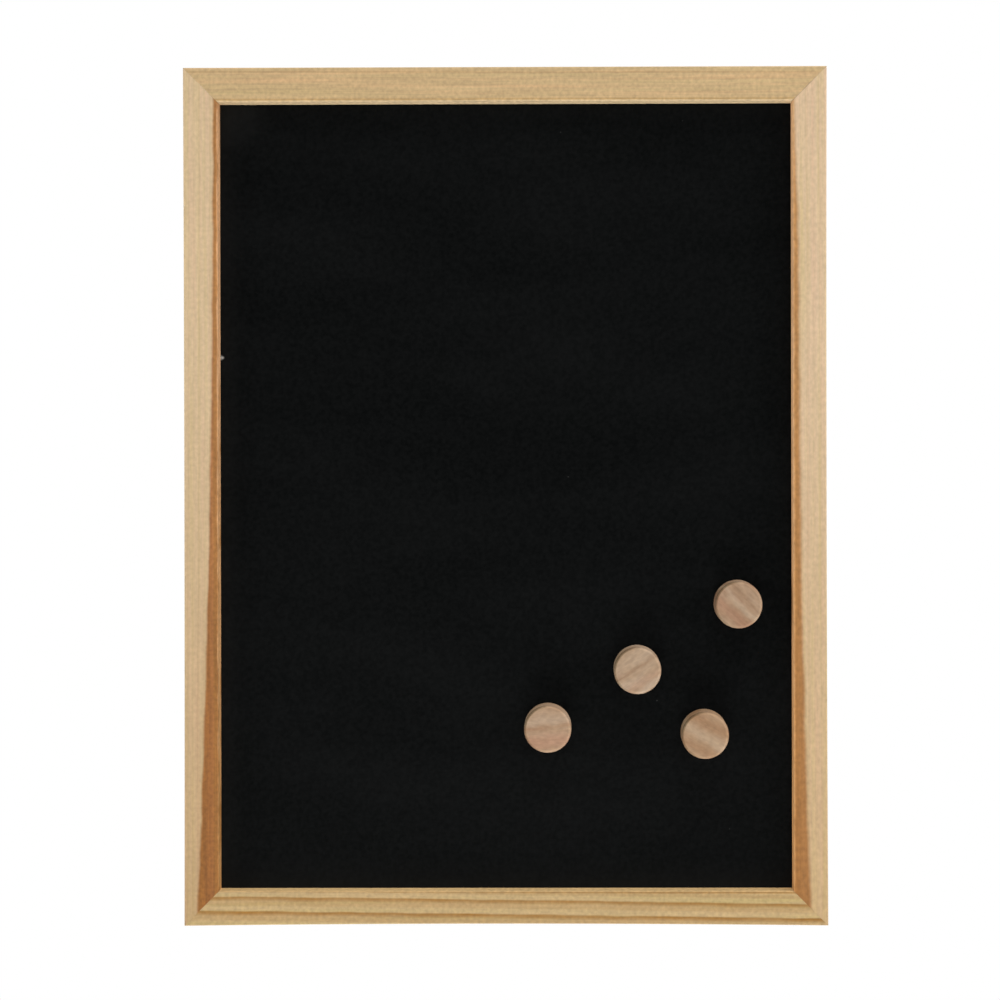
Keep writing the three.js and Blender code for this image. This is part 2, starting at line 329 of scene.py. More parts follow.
    # Heartwood: browner wood inwards of a border that widens down the rail
    flat, widening, curve = wood["border"]
    curved = add(tree, "ShaderNodeMath", [share, curve], operation="POWER")
    border = add(tree, "ShaderNodeMath", [curved, -widening, flat], operation="MULTIPLY_ADD")
    past = add(tree, "ShaderNodeMath", [inwards, border], operation="SUBTRACT")
    narrowed = add(
        tree, "ShaderNodeMapRange", [share, wood["starts"], wood["starts"] + 0.25, 2.2, 0.0],
        interpolation_type="SMOOTHSTEP",
    )
    past = add(tree, "ShaderNodeMath", [past, narrowed], operation="SUBTRACT")
    ragged = add(tree, "ShaderNodeMath", [ripple, 1.6, past], operation="MULTIPLY_ADD")
    heart = add(
        tree, "ShaderNodeMapRange", [ragged, -wood["soft"], wood["soft"], 0.0, 1.0],
        interpolation_type="SMOOTHSTEP",
    )
    wavering = add(tree, "ShaderNodeMath", [ripple, wood["waver"], inwards], operation="MULTIPLY_ADD")
    depth_in = add(tree, "ShaderNodeMapRange", [wavering, 0.0, 16.0, 0.0, 1.0])
    # On the top rail and the stiles the ramp's last stops, at the inner edge, are painted light on the
    # rounded edge and the recess wall
    heartwood_and_edge_light = add(tree, "ShaderNodeValToRGB", [depth_in], wood["heartwood"])
    lower = add(tree, "ShaderNodeMapRange", [share, 0.35, 1.0, 0.0, 1.0])
    deeper = add(tree, "ShaderNodeMix", [lower, "FFFFFF", wood["heart_foot"]], data_type="RGBA")
    core = add(tree, "ShaderNodeMix", [1.0, heartwood_and_edge_light, deeper], data_type="RGBA", blend_type="MULTIPLY")
    vein_tone = add(
        tree, "ShaderNodeMapRange", [veins, 0.3, 0.7, 1 - wood["veins"], 1 + wood["veins"]]
    )
    core = add(tree, "ShaderNodeMix", [1.0, core, vein_tone], data_type="RGBA", blend_type="MULTIPLY")
    timber = add(tree, "ShaderNodeMix", [heart, ringed, core], data_type="RGBA")

    # Painted light: on the bottom rail the recess wall, which faces up, and the rounded edge beside it
    # are painted paler
    painted_wall_light = add(tree, "ShaderNodeMapRange", [inwards, 15.6, 15.98, 0.0, wood["painted_wall_light"]])
    timber = add(tree, "ShaderNodeMix", [painted_wall_light, timber, "D2AF7A"], data_type="RGBA")

    # Fibres, short resin flecks, pores, broad clouds, and long lines on one rail
    fibre_tone = add(tree, "ShaderNodeMapRange", [fibres, 0.25, 0.75, 0.93, 1.06])
    dash_tone = add(tree, "ShaderNodeMapRange", [dashes, 0.6, 0.76, 1.0, 0.93])
    depth_of_pores = add(tree, "ShaderNodeMapRange", [heart, 0.0, 1.0, wood["pores"], 0.68])
    pore_swing = add(tree, "ShaderNodeMath", [pores, -0.5], operation="ADD")
    pore_tone = add(tree, "ShaderNodeMath", [pore_swing, depth_of_pores, 1.0], operation="MULTIPLY_ADD")
    cloud_tone = add(tree, "ShaderNodeMapRange", [clouds, 0.3, 0.7, 0.965, 1.03])
    line_tone = add(
        tree, "ShaderNodeMapRange", [threads, 0.3, 0.7, 1 - wood["lines"], 1 + wood["lines"]]
    )
    # The stiles are tinted darker towards their foot
    foot_tint = add(tree, "ShaderNodeMix", [lower, "FFFFFF", wood["foot"]], data_type="RGBA")

    # The glued mitres show as a hair line, darker where glue and dust fill it
    reach = add(tree, "ShaderNodeMath", [along], operation="ABSOLUTE")
    half_length = length * 1000 / 2
    from_end = add(tree, "ShaderNodeMath", [half_length, reach], operation="SUBTRACT")
    from_mitre = add(tree, "ShaderNodeMath", [from_end, inwards], operation="SUBTRACT")
    glue_tone = add(tree, "ShaderNodeMapRange", [share, 0.0, 1.0, *wood["joints"]])
    filled = add(tree, "ShaderNodeMapRange", [shiver, 0.35, 0.65, glue_tone, 1.0])
    joint_tone = add(
        tree, "ShaderNodeMapRange", [from_mitre, 0.12, 0.42, filled, 1.0],
        interpolation_type="SMOOTHSTEP",
    )
    tone = fibre_tone
    for part in (dash_tone, pore_tone, cloud_tone, line_tone, joint_tone):
        tone = add(tree, "ShaderNodeMath", [tone, part], operation="MULTIPLY")
    warmed = add(tree, "ShaderNodeMix", [1.0, timber, foot_tint], data_type="RGBA", blend_type="MULTIPLY")
    tinted = add(tree, "ShaderNodeMix", [1.0, warmed, tone], data_type="RGBA", blend_type="MULTIPLY")

    tree.links.new(tinted.outputs[2], shader.inputs["Base Color"])
    sheen = add(tree, "ShaderNodeMapRange", [fibres, 0.3, 0.7, 0.52, 0.64])
    tree.links.new(sheen.outputs[0], shader.inputs["Roughness"])
    relief = add(tree, "ShaderNodeMath", [late, 0.6, fibres], operation="MULTIPLY_ADD")
    bump = add(tree, "ShaderNodeBump", {"Strength": 0.35, "Distance": 0.00006, "Height": relief})
    tree.links.new(bump.outputs[0], shader.inputs["Normal"])
    shader.inputs["Specular IOR Level"].default_value = 0.3
    return material


# Each rail's wood, in millimetres. down is 1 where the rail's x runs down or to the right, and -1
# where it runs up or to the left. slant, sway and waver bend the lines. pith is the tree's
# middle, inwards and back of the rail, ring a year's growth, and phase how far into a year the
# pith is. late_from and late_to are the part of a ring that is late wood, tail how dark the strip
# before it is, and faint and strong the limits of how dark it gets. border is where the heartwood
# starts, how much nearer the outer edge it comes at the rail's foot, and along what power of the
# length. soft is half the width of its blur, and starts the share of the length where it comes
# in. foot and heart_foot tint the rail's foot, joints is how light the glue is at its two ends,
# and fresh how much painted light brightens the rounded inner edge and the recess wall. pores,
# veins and lines are contrasts. The heartwood's colours lie at shares of the rail's width; on the
# top rail and the stiles its last stops, at the inner edge, are painted light on the rounded edge
# and the recess wall.
bottom_wood = {
    "down": 1, "slant": 0.0127, "sway": 1.1, "pith": (-40, 60), "ring": 4.2, "phase": 0.012,
    "late_from": 0.45, "late_to": 0.87, "tail": 0.3, "painted_wall_light": 1, "faint": 0.9, "strong": 1.0,
    "early": "B99E71", "yellow": "B7A06B", "pink": "BDA074", "late": "936626",
    "border": (16.2, 2.2, 1.5), "soft": 0.6, "starts": -1, "foot": "FFFFFF",
    "heart_foot": "FFFFFF", "pores": 0.52, "pore_length": 1.9, "joints": (0.95, 0.85),
    "waver": 0.0, "veins": 0.05, "lines": 0,
    "heartwood": [(0.9, "B99E71"), (0.95, "AE8955"), (0.98, "9C763F")],
}
left_wood = {
    "down": 1, "slant": 0.004, "sway": 1.6, "pith": (40, 14), "ring": 2.3, "phase": 0.3,
    "late_from": 0.35, "late_to": 0.92, "tail": 0, "painted_wall_light": 0, "faint": 0.05, "strong": 0.28,
    "early": "D3B893", "yellow": "D1B88B", "pink": "D5B594", "late": "B8996A",
    "border": (14.1, 8.1, 2.2), "soft": 0.8, "starts": -1, "foot": "DDD4C4",
    "heart_foot": "FFFEE9", "pores": 0.31, "pore_length": 1.9, "joints": (0.8, 0.95),
    "waver": 1.5, "veins": 0.17, "lines": 0,
    "heartwood": [(0.5, "A06C38"), (0.74, "A16B3D"), (0.84, "A77044"), (0.9, "A3703D"),
                  (0.98, "A87541"), (1.0, "C99A6F")],
}
top_wood = {
    "down": -1, "slant": 0.002, "sway": 1.4, "pith": (30, 34), "ring": 1.7, "phase": 0.1,
    "late_from": 0.5, "late_to": 0.88, "tail": 0, "painted_wall_light": 0, "faint": -0.25, "strong": 0.65,
    "early": "C5A87C", "yellow": "C3A97A", "pink": "CCA77B", "late": "A98556",
    "border": (14.2, 0, 1), "soft": 0.8, "starts": -1, "foot": "FFFFFF",
    "heart_foot": "FFFFFF", "pores": 0.5, "pore_length": 1.8, "joints": (0.8, 0.45),
    "waver": 0.4, "veins": 0.0, "lines": 0.08,
    "heartwood": [(0.9, "C6A87C"), (0.945, "BB9761"), (0.985, "D0B58C"), (1.0, "DCC298")],
}
right_wood = {
    "down": -1, "slant": -0.003, "sway": 1.6, "pith": (-26, 18), "ring": 2.6, "phase": 0.6,
    "late_from": 0.35, "late_to": 0.92, "tail": 0, "painted_wall_light": 0, "faint": 0.05, "strong": 0.25,
    "early": "D5B996", "yellow": "D2B98C", "pink": "D7B697", "late": "BD9E70",
    "border": (13.25, 5.65, 3.0), "soft": 1.2, "starts": 0.0, "foot": "E7E0D0",
    "heart_foot": "F4EAD8", "pores": 0.35, "pore_length": 2.4, "joints": (0.45, 0.85),
    "waver": 1.2, "veins": 0.08, "lines": 0,
    "heartwood": [(0.6, "B08253"), (0.75, "B38454"), (0.86, "B07F4C"), (0.925, "B1804A"),
                  (0.965, "C8945F"), (1.0, "E0B080")],
}
quarter = math.pi / 2
rails = {}
# Each rail's length, the frame's size across it, its turn and how hollow its edge is sanded
for node, length, span, turn, hollow, wood in (
    ("bottom_rail", frame_width, frame_height, 0, 0.0009, bottom_wood),
    ("left_stile", frame_height, frame_width, quarter, 0.0003, left_wood),
    ("top_rail", frame_width, frame_height, 2 * quarter, 0, top_wood),
    ("right_stile", frame_height, frame_width, 3 * quarter, 0.0004, right_wood),
):
    rail = mitred_rail(f"pine_{node}", length, span, turn, hollow)
    rail.data.materials.append(sealed_pine(f"sealed_pine_{node}", length, span, turn, wood))
    rails[node] = rail

# V-nails
# A bent strip of hard steel pressed across each mitre from the back, half in each rail. It
# ends just under the wood, which closes tightly round it.

v_nail_low, v_nail_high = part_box("v_nail_bottom_left")
v_nail_inset = v_nail_low.x - outer_left
v_nail_arm = v_nail_high.x - v_nail_low.x
v_nail_back = v_nail_high.y
v_nail_front = v_nail_low.y
v_nail_thickness = 0.0006
v_nail_clearance = 0.00006
slot_past_back = 0.0005


def bent_strip(turn, corner_x, corner_z, grow, back):
    """The V-nail's two arms, made at the left end of the bottom rail and turned into place"""
    near = v_nail_inset - grow
    inner = v_nail_inset + v_nail_thickness + grow
    far = v_nail_inset + v_nail_arm + grow
    outline = [(near, near), (far, near), (far, inner), (inner, inner), (inner, far), (near, far)]
    corners = [(corner_x + x, back, corner_z + z) for x, z in outline]
    shape = drawn_out(corners, (0, v_nail_front - grow - back, 0))
    turn_into_place(shape, turn)
    return shape


def bare_metal(name, hex_colour, roughness, spread, scratch):
    """Plated steel: a fully metallic surface whose gloss varies with fine drawing marks.
    scratch is the size in millimetres of the marks along x, y and z."""
    material, tree, shader = new_material(name)
    place = add(tree, "ShaderNodeTexCoord").outputs["Object"]
    marks = add(
        tree, "ShaderNodeMapping", {"Vector": place, "Scale": [1000 / size for size in scratch]}
    )
    streaks = add(tree, "ShaderNodeTexNoise", {"Vector": marks, "Scale": 1.0, "Detail": 3.0})
    blotches = add(tree, "ShaderNodeTexNoise", {"Vector": place, "Scale": 700.0, "Detail": 3.0})
    mixed = add(tree, "ShaderNodeMath", [streaks, blotches], operation="ADD")
    gloss = add(
        tree, "ShaderNodeMapRange", [mixed, 0.7, 1.3, roughness - spread, roughness + spread]
    )
    tone = add(tree, "ShaderNodeMapRange", [mixed, 0.7, 1.3, 0.9, 1.05])
    tinted = add(tree, "ShaderNodeMix", [1.0, hex_colour, tone], data_type="RGBA", blend_type="MULTIPLY")
    tree.links.new(tinted.outputs[2], shader.inputs["Base Color"])
    tree.links.new(gloss.outputs[0], shader.inputs["Roughness"])
    bump = add(tree, "ShaderNodeBump", {"Strength": 0.2, "Distance": 0.00002, "Height": streaks})
    tree.links.new(bump.outputs[0], shader.inputs["Normal"])
    shader.inputs["Metallic"].default_value = 1.0
    return material


blued_steel = bare_metal("oil_blackened_steel", "6E7073", 0.42, 0.08, (0.4, 3, 0.4))
for node, turn, length, span, joined in (
    ("v_nail_bottom_left", 0, frame_width, frame_height, ("bottom_rail", "left_stile")),
    ("v_nail_top_left", quarter, frame_height, frame_width, ("left_stile", "top_rail")),
    ("v_nail_top_right", 2 * quarter, frame_width, frame_height, ("top_rail", "right_stile")),
    ("v_nail_bottom_right", 3 * quarter, frame_height, frame_width, ("right_stile", "bottom_rail")),
):
    v_nail = as_piece(bent_strip(turn, -length / 2, -span / 2, 0, v_nail_back), f"pressed_{node}")
    v_nail.data.materials.append(blued_steel)
    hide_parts(node)
    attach(v_nail, "board")
    for rail_name in joined:
        slot_shape = bent_strip(turn, -length / 2, -span / 2, v_nail_clearance, slot_past_back)
        cut_out(rails[rail_name], as_piece(slot_shape, "v_nail_slot"))

for node, rail in rails.items():
    flat_shading(rail)
    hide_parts(node)
    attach(rail, "board")

# Steel writing sheet
# Half a millimetre of steel sheet, sheared to size and sprayed with matt black chalkboard
# enamel, whose fine grit takes the chalk. It lies against the back of the frame's lip.

sheet_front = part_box("steel_writing_sheet")[0].y
hazy_corner = (outer_left + 0.023, outer_top - 0.022)
chalk_crumb = (-0.1341, -0.1275)
crumb_smudge = (-0.1330, -0.1275)


def chalkboard_enamel():
    """Matt black enamel: almost no gloss, a grit of 0.3 mm, painted light in pale bands along the bottom,
    left and top edges and faintly over the lower board, a haze of chalky dust that the cloth has left in
    one corner, a few specks, and a crumb caught against the left stile"""
    material, tree, shader = new_material("matt_chalkboard_enamel")
    place = add(tree, "ShaderNodeTexCoord").outputs["Object"]
    grit = add(tree, "ShaderNodeTexNoise", {"Vector": place, "Scale": 3000.0, "Detail": 2.0})
    wiped = add(
        tree, "ShaderNodeMapping", {"Vector": place, "Rotation": (0, 0.5, 0), "Scale": (9, 9, 30)}
    )
    wipes = add(tree, "ShaderNodeTexNoise", {"Vector": wiped, "Scale": 1.0, "Detail": 3.0})
    haze = add(tree, "ShaderNodeMapRange", [wipes, 0.35, 0.75, 0.0, 0.35])
    coarse = add(tree, "ShaderNodeTexNoise", {"Vector": place, "Scale": 550.0, "Detail": 2.0})
    grain = add(tree, "ShaderNodeMapRange", [coarse, 0.3, 0.7, 0.0, 0.5])
    cover = add(tree, "ShaderNodeMath", [haze, grain], operation="ADD")
    black = add(tree, "ShaderNodeMix", [cover, "050606", "121313"], data_type="RGBA")

    # Each pale patch: how far a spot is from it, how far it reaches, and how white it is. The bands along
    # the edges are painted light; the corner haze, the crumb and its smudge are chalky dust
    across, _, up = add(tree, "ShaderNodeSeparateXYZ", [place]).outputs
    from_foot = add(tree, "ShaderNodeMath", [up, outer_bottom + rail_width], operation="SUBTRACT")
    from_top = add(tree, "ShaderNodeMath", [outer_top - rail_width, up], operation="SUBTRACT")
    from_left = add(tree, "ShaderNodeMath", [across, outer_left + rail_width], operation="SUBTRACT")
    pale_patches = [
        (from_foot, 0.2, 0.0015),
        (from_foot, 0.016, 0.008),
        (from_left, 0.013, 0.0045),
        (from_top, 0.012, 0.0015),
    ]
    for (x, z), reach, amount in (
        (hazy_corner, 0.02, 0.012),
        (chalk_crumb, 0.0017, 0.7),
        (crumb_smudge, 0.0010, 0.6),
    ):
        away = add(
            tree, "ShaderNodeVectorMath", [place, (x, sheet_front, z)], operation="DISTANCE"
        ).outputs["Value"]
        pale_patches.append((away, reach, amount))
    chalk_and_edge_light = 0.0
    for away, reach, amount in pale_patches:
        pale_patch = add(
            tree, "ShaderNodeMapRange", [away, 0.0, reach, amount, 0.0],
            interpolation_type="SMOOTHSTEP",
        )
        chalk_and_edge_light = add(tree, "ShaderNodeMath", [pale_patch, chalk_and_edge_light], operation="ADD")
    crumbs = add(tree, "ShaderNodeTexVoronoi", {"Vector": place, "Scale": 55.0, "Randomness": 1.0})
    dust = add(tree, "ShaderNodeMapRange", [crumbs, 0.012, 0.02, 0.06, 0.0])
    dust_and_edge_light = add(tree, "ShaderNodeMath", [chalk_and_edge_light, dust], operation="ADD", use_clamp=True)
    surface = add(tree, "ShaderNodeMix", [dust_and_edge_light, black, "B4B4B0"], data_type="RGBA")
    tree.links.new(surface.outputs[2], shader.inputs["Base Color"])
    matt = add(tree, "ShaderNodeMapRange", [grit, 0.3, 0.7, 0.82, 0.92])
    tree.links.new(matt.outputs[0], shader.inputs["Roughness"])
    bump = add(tree, "ShaderNodeBump", {"Strength": 0.3, "Distance": 0.00003, "Height": grit})
    tree.links.new(bump.outputs[0], shader.inputs["Normal"])
    shader.inputs["Specular IOR Level"].default_value = 0.03
    return material


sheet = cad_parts["steel_writing_sheet"]
enamel = chalkboard_enamel()
for finish in sheet.material_slots:
    finish.material = enamel

# Hardboard backing
# A sheet of 2.5 mm hardboard, glued behind the steel to stiffen it. It is pressed wood fibre,
# smooth in front and printed behind by the wire screen that it was pressed on.

backing_low, backing_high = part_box("backing_board")
backing_arris = 0.0003
screen_pitch = 0.002


def pressed_fibre():
    """Brown hardboard: matted pale and dark fibres, and the screen's print on its back face,
    drawn with a pit every 2 mm, a little coarser than the real 1.5 mm, so that it shows"""
    material, tree, shader = new_material("raw_hardboard")
    place = add(tree, "ShaderNodeTexCoord").outputs["Object"]
    fibres = add(
        tree, "ShaderNodeTexNoise",
        {"Vector": place, "Scale": 900.0, "Detail": 4.0, "Distortion": 1.5},
    )
    clouds = add(tree, "ShaderNodeTexNoise", {"Vector": place, "Scale": 22.0, "Detail": 4.0})
    brown = add(
        tree, "ShaderNodeValToRGB", [fibres],
        [(0.3, "634126"), (0.5, "7C5734"), (0.64, "8A6640"), (0.75, "A07F57")],
    )
    tone = add(tree, "ShaderNodeMapRange", [clouds, 0.3, 0.7, 0.88, 1.1])
    across, back, up = add(tree, "ShaderNodeSeparateXYZ", [place]).outputs
    wires = []
    for direction in (across, up):
        turns = add(tree, "ShaderNodeMath", [direction, 2 * math.pi / screen_pitch], operation="MULTIPLY")
        wires.append(add(tree, "ShaderNodeMath", [turns], operation="SINE"))
    mesh_print = add(tree, "ShaderNodeMath", wires, operation="MULTIPLY")
    screened = add(tree, "ShaderNodeMapRange", [mesh_print, -0.6, 0.8, 0.0, 1.0])
    on_back = add(
        tree, "ShaderNodeMapRange",
        [back, backing_high.y - backing_arris, backing_high.y - backing_arris / 3, 0.0, 1.0],
    )
    print_depth = add(tree, "ShaderNodeMath", [screened, on_back], operation="MULTIPLY")
    # Painted shade: the pits of the screen print are painted darker, as shade falls in them
    pit_shade = add(tree, "ShaderNodeMapRange", [print_depth, 0.0, 1.0, 1.06, 0.72])
    shade = add(tree, "ShaderNodeMath", [tone, pit_shade], operation="MULTIPLY")
    surface = add(tree, "ShaderNodeMix", [1.0, brown, shade], data_type="RGBA", blend_type="MULTIPLY")
    tree.links.new(surface.outputs[2], shader.inputs["Base Color"])
    shader.inputs["Roughness"].default_value = 0.78
    deep = add(tree, "ShaderNodeMath", [print_depth, -1.0, fibres], operation="MULTIPLY_ADD")
    bump = add(tree, "ShaderNodeBump", {"Strength": 0.8, "Distance": 0.00025, "Height": deep})
    tree.links.new(bump.outputs[0], shader.inputs["Normal"])
    shader.inputs["Specular IOR Level"].default_value = 0.3
    return material


def slab(low, high):
    """A plain block between two corners"""
    shape = bmesh.new()
    bmesh.ops.create_cube(shape, size=1)
    bmesh.ops.scale(shape, verts=shape.verts, vec=high - low)
    bmesh.ops.translate(shape, verts=shape.verts, vec=(low + high) / 2)
    return shape


board_shape = slab(backing_low, backing_high)
round_over(board_shape, board_shape.edges[:], backing_arris, 2)
backing = as_piece(board_shape, "pressed_hardboard_backing")
flat_shading(backing)
backing.data.materials.append(pressed_fibre())
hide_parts("backing_board")
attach(backing, "board")

# Framer's points
# Flat zinc plated tabs, fired into the rebate wall over the backing to hold it in. Each has a
# pointed end in the wood and a square end that lies on the board.

point_tip = 0.003
point_tip_share = 0.06
point_arris = 0.00009
point_bend = 0.5
zinc_plate = bare_metal("zinc_plated_steel", "A9ABAD", 0.36, 0.09, (0.5, 0.5, 0.5))
for node in [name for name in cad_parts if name.startswith("framers_point")]:
    low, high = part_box(node)
    lengthwise = 2 if high.z - low.z > high.x - low.x else 0
    crosswise = 2 - lengthwise
    outer = 1 if (low + high)[lengthwise] / 2 > frame_middle[lengthwise] else -1
    point_shape = slab(low, high)
    shoulder = [high[i] - point_tip if outer > 0 else low[i] + point_tip for i in range(3)]
    cut_through(point_shape, shoulder, [float(i == lengthwise) for i in range(3)])
    centre = (low + high) / 2
    for vert in point_shape.verts:
        from_centre = vert.co - centre
        if from_centre[lengthwise] * outer > (high - low)[lengthwise] / 2 - same:
            vert.co[crosswise] = centre[crosswise] + from_centre[crosswise] * point_tip_share
    sharp = [edge for edge in point_shape.edges if edge.calc_face_angle(0) > point_bend]
    round_over(point_shape, sharp, point_arris, 2)
    point = as_piece(point_shape, f"fired_{node}")
    flat_shading(point)
    point.data.materials.append(zinc_plate)
    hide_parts(node)
    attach(point, "board")

# Sawtooth hangers
# A brass plated strip, blanked with nine teeth along one edge and pressed so that the toothed
# middle stands off the wood. The wall nail's shank sits in a notch. Each ear takes one nail.

hanger_length = 0.040
hanger_height = 0.007
hanger_thickness = 0.0008
hanger_rise = 0.0016
hanger_inset = 0.0015
hanger_ear = 0.008
hanger_ramp = 0.002
hanger_corner = 0.002
hanger_arris = 0.00008
bend_margin = 0.0002
bends = 6
tooth_count = 9
tooth_depth = 0.0012
tooth_margin = 0.001
tooth_span = hanger_length - 2 * (hanger_ear + hanger_ramp + tooth_margin)
nail_place = (hanger_length - hanger_ear) / 2
nail_radius = 0.00065
nail_length = 0.009
nail_point = 0.0015
nail_head_radius = 0.0016
nail_head_height = 0.0006
nail_hole_radius = nail_radius + 0.0001


def toothed_strip(span):
    """The strip lying as on the bottom rail of a frame span high, its teeth inwards"""
    half = hanger_length / 2
    outline = [(-half, 0), (half, 0), (half, hanger_height)]
    pitch = tooth_span / tooth_count
    for tooth in range(tooth_count):
        start = tooth_span / 2 - tooth * pitch
        outline.append((start, hanger_height))
        outline.append((start - pitch / 2, hanger_height - tooth_depth))
    outline.append((-tooth_span / 2, hanger_height))
    outline.append((-half, hanger_height))
    shape = drawn_out([(x, 0, z) for x, z in outline], (0, hanger_thickness, 0))
    bmesh.ops.recalc_face_normals(shape, faces=shape.faces)
    upright = [
        edge
        for edge in shape.edges
        if all(abs(abs(vert.co.x) - half) < weld for vert in edge.verts)
        and abs(edge.verts[0].co.y - edge.verts[1].co.y) > same
    ]
    round_over(shape, upright, hanger_corner, 6)

    # Cut across where it bends, then raised between the ears along a smooth ramp
    ramp_start = half - hanger_ear + bend_margin
    ramp_length = hanger_ramp + 2 * bend_margin
    for i in range(-1, bends + 2):
        for side in (-1, 1):
            cut_through(shape, (side * (ramp_start - i * ramp_length / bends), 0, 0), (1, 0, 0))
    for vert in shape.verts:
        share = min(max((ramp_start - abs(vert.co.x)) / ramp_length, 0), 1)
        vert.co.y += hanger_rise * share * share * (3 - 2 * share)
        vert.co.z += hanger_inset - span / 2
    return shape


def round_bar(radius, start, end, x, z, steps=24):
    """A plain round bar along y"""
    shape = bmesh.new()
    bmesh.ops.create_cone(
        shape, cap_ends=True, segments=steps, radius1=radius, radius2=radius, depth=end - start
    )
    bmesh.ops.rotate(shape, verts=shape.verts, cent=(0, 0, 0), matrix=Matrix.Rotation(quarter, 3, "X"))
    bmesh.ops.translate(shape, verts=shape.verts, vec=(x, (start + end) / 2, z))
    return shape


brass_plate = bare_metal("brass_plated_steel", "C4A264", 0.3, 0.08, (6, 0.3, 0.3))
nail_steel = bare_metal("bright_nail_steel", "B0B1B0", 0.3, 0.08, (0.3, 0.3, 0.3))


def turned(profile, x, z, steps):
    """A round shape along y: half its section, as radius and depth, spun about an axis at x, z"""
    shape = bmesh.new()
    verts = [shape.verts.new((radius, depth, 0)) for radius, depth in profile]
    edges = [shape.edges.new(pair) for pair in zip(verts, verts[1:])]
    bmesh.ops.spin(
        shape, geom=verts + edges, cent=(0, 0, 0), axis=(0, 1, 0), angle=2 * math.pi, steps=steps,
        use_merge=True,
    )
    bmesh.ops.translate(shape, verts=shape.verts, vec=(x, 0, z))
    return shape


def hammered_nail(x, z):
    """A round nail with its point in the wood and a low domed head that lies on the hanger"""
    head = nail_head_radius
    seat = hanger_thickness
    profile = [
        (0, seat - nail_length),
        (nail_radius, seat - nail_length + nail_point),
        (nail_radius, seat),
        (head - 0.0001, seat),
        (head, seat + 0.0001),
        (head, seat + 0.0002),
        (head - 0.0002, seat + 0.00037),
        (head * 0.6, seat + 0.00053),
        (head * 0.3, seat + nail_head_height),
        (0, seat + nail_head_height),
    ]
    return turned(profile, x, z, steps=32)


for label, turn, span in (("top", 2 * quarter, frame_height), ("right", 3 * quarter, frame_width)):
    hanger_shape = toothed_strip(span)
    turn_into_place(hanger_shape, turn)
    hanger = as_piece(hanger_shape, f"pressed_sawtooth_hanger_{label}", math.radians(25))
    for number, along in ((1, -nail_place), (2, nail_place)):
        height = land_width / 2 - span / 2
        hole = round_bar(nail_hole_radius, -hanger_thickness, 2 * hanger_thickness, along, height)
        turn_into_place(hole, turn)
        cut_out(hanger, as_piece(hole, "nail_hole"))
        nail_shape = hammered_nail(along, height)
        turn_into_place(nail_shape, turn)
        nail = as_piece(nail_shape, f"driven_hanger_nail_{label}_{number}")
        nail.data.materials.append(nail_steel)
        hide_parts(f"hanger_nail_{label}_{number}")
        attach(nail, "board")
    hanger.data.materials.clear()
    hanger.data.materials.append(brass_plate)
    edges_broken = hanger.modifiers.new("broken_edges", "BEVEL")
    edges_broken.width = hanger_arris
    edges_broken.segments = 2
    edges_broken.limit_method = "ANGLE"
    edges_broken.angle_limit = math.radians(40)
    flat_shading(hanger)
    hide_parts(f"sawtooth_hanger_{label}")
    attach(hanger, "board")

# Wooden discs
# Four discs of beech, 22 mm across, turned, parted off and sanded, with their edges rounded
# over. A pocket is bored in the back of each for its magnet.

disc_radius = 0.011
disc_thickness = 0.008
front_round = 0.0008
back_round = 0.0004
pocket_radius = 0.0062
pocket_depth = 0.0032
pocket_chamfer = 0.0002


def turned_disc(centre, front):
    """The disc spun from half its section, its face first and the pocket last"""
    back = front + disc_thickness
    profile = [(0, front)]
    for step in range(9):
        angle = step / 8 * quarter
        profile.append(
            (
                disc_radius - front_round + front_round * math.sin(angle),
                front + front_round - front_round * math.cos(angle),
            )
        )
    for step in range(5):
        angle = step / 4 * quarter
        profile.append(
            (
                disc_radius - back_round + back_round * math.cos(angle),
                back - back_round + back_round * math.sin(angle),
            )
        )
    profile.append((pocket_radius + pocket_chamfer, back))
    profile.append((pocket_radius, back - pocket_chamfer))
    profile.append((pocket_radius, back - pocket_depth))
    profile.append((0, back - pocket_depth))
    return turned(profile, centre.x, centre.z, steps=96)


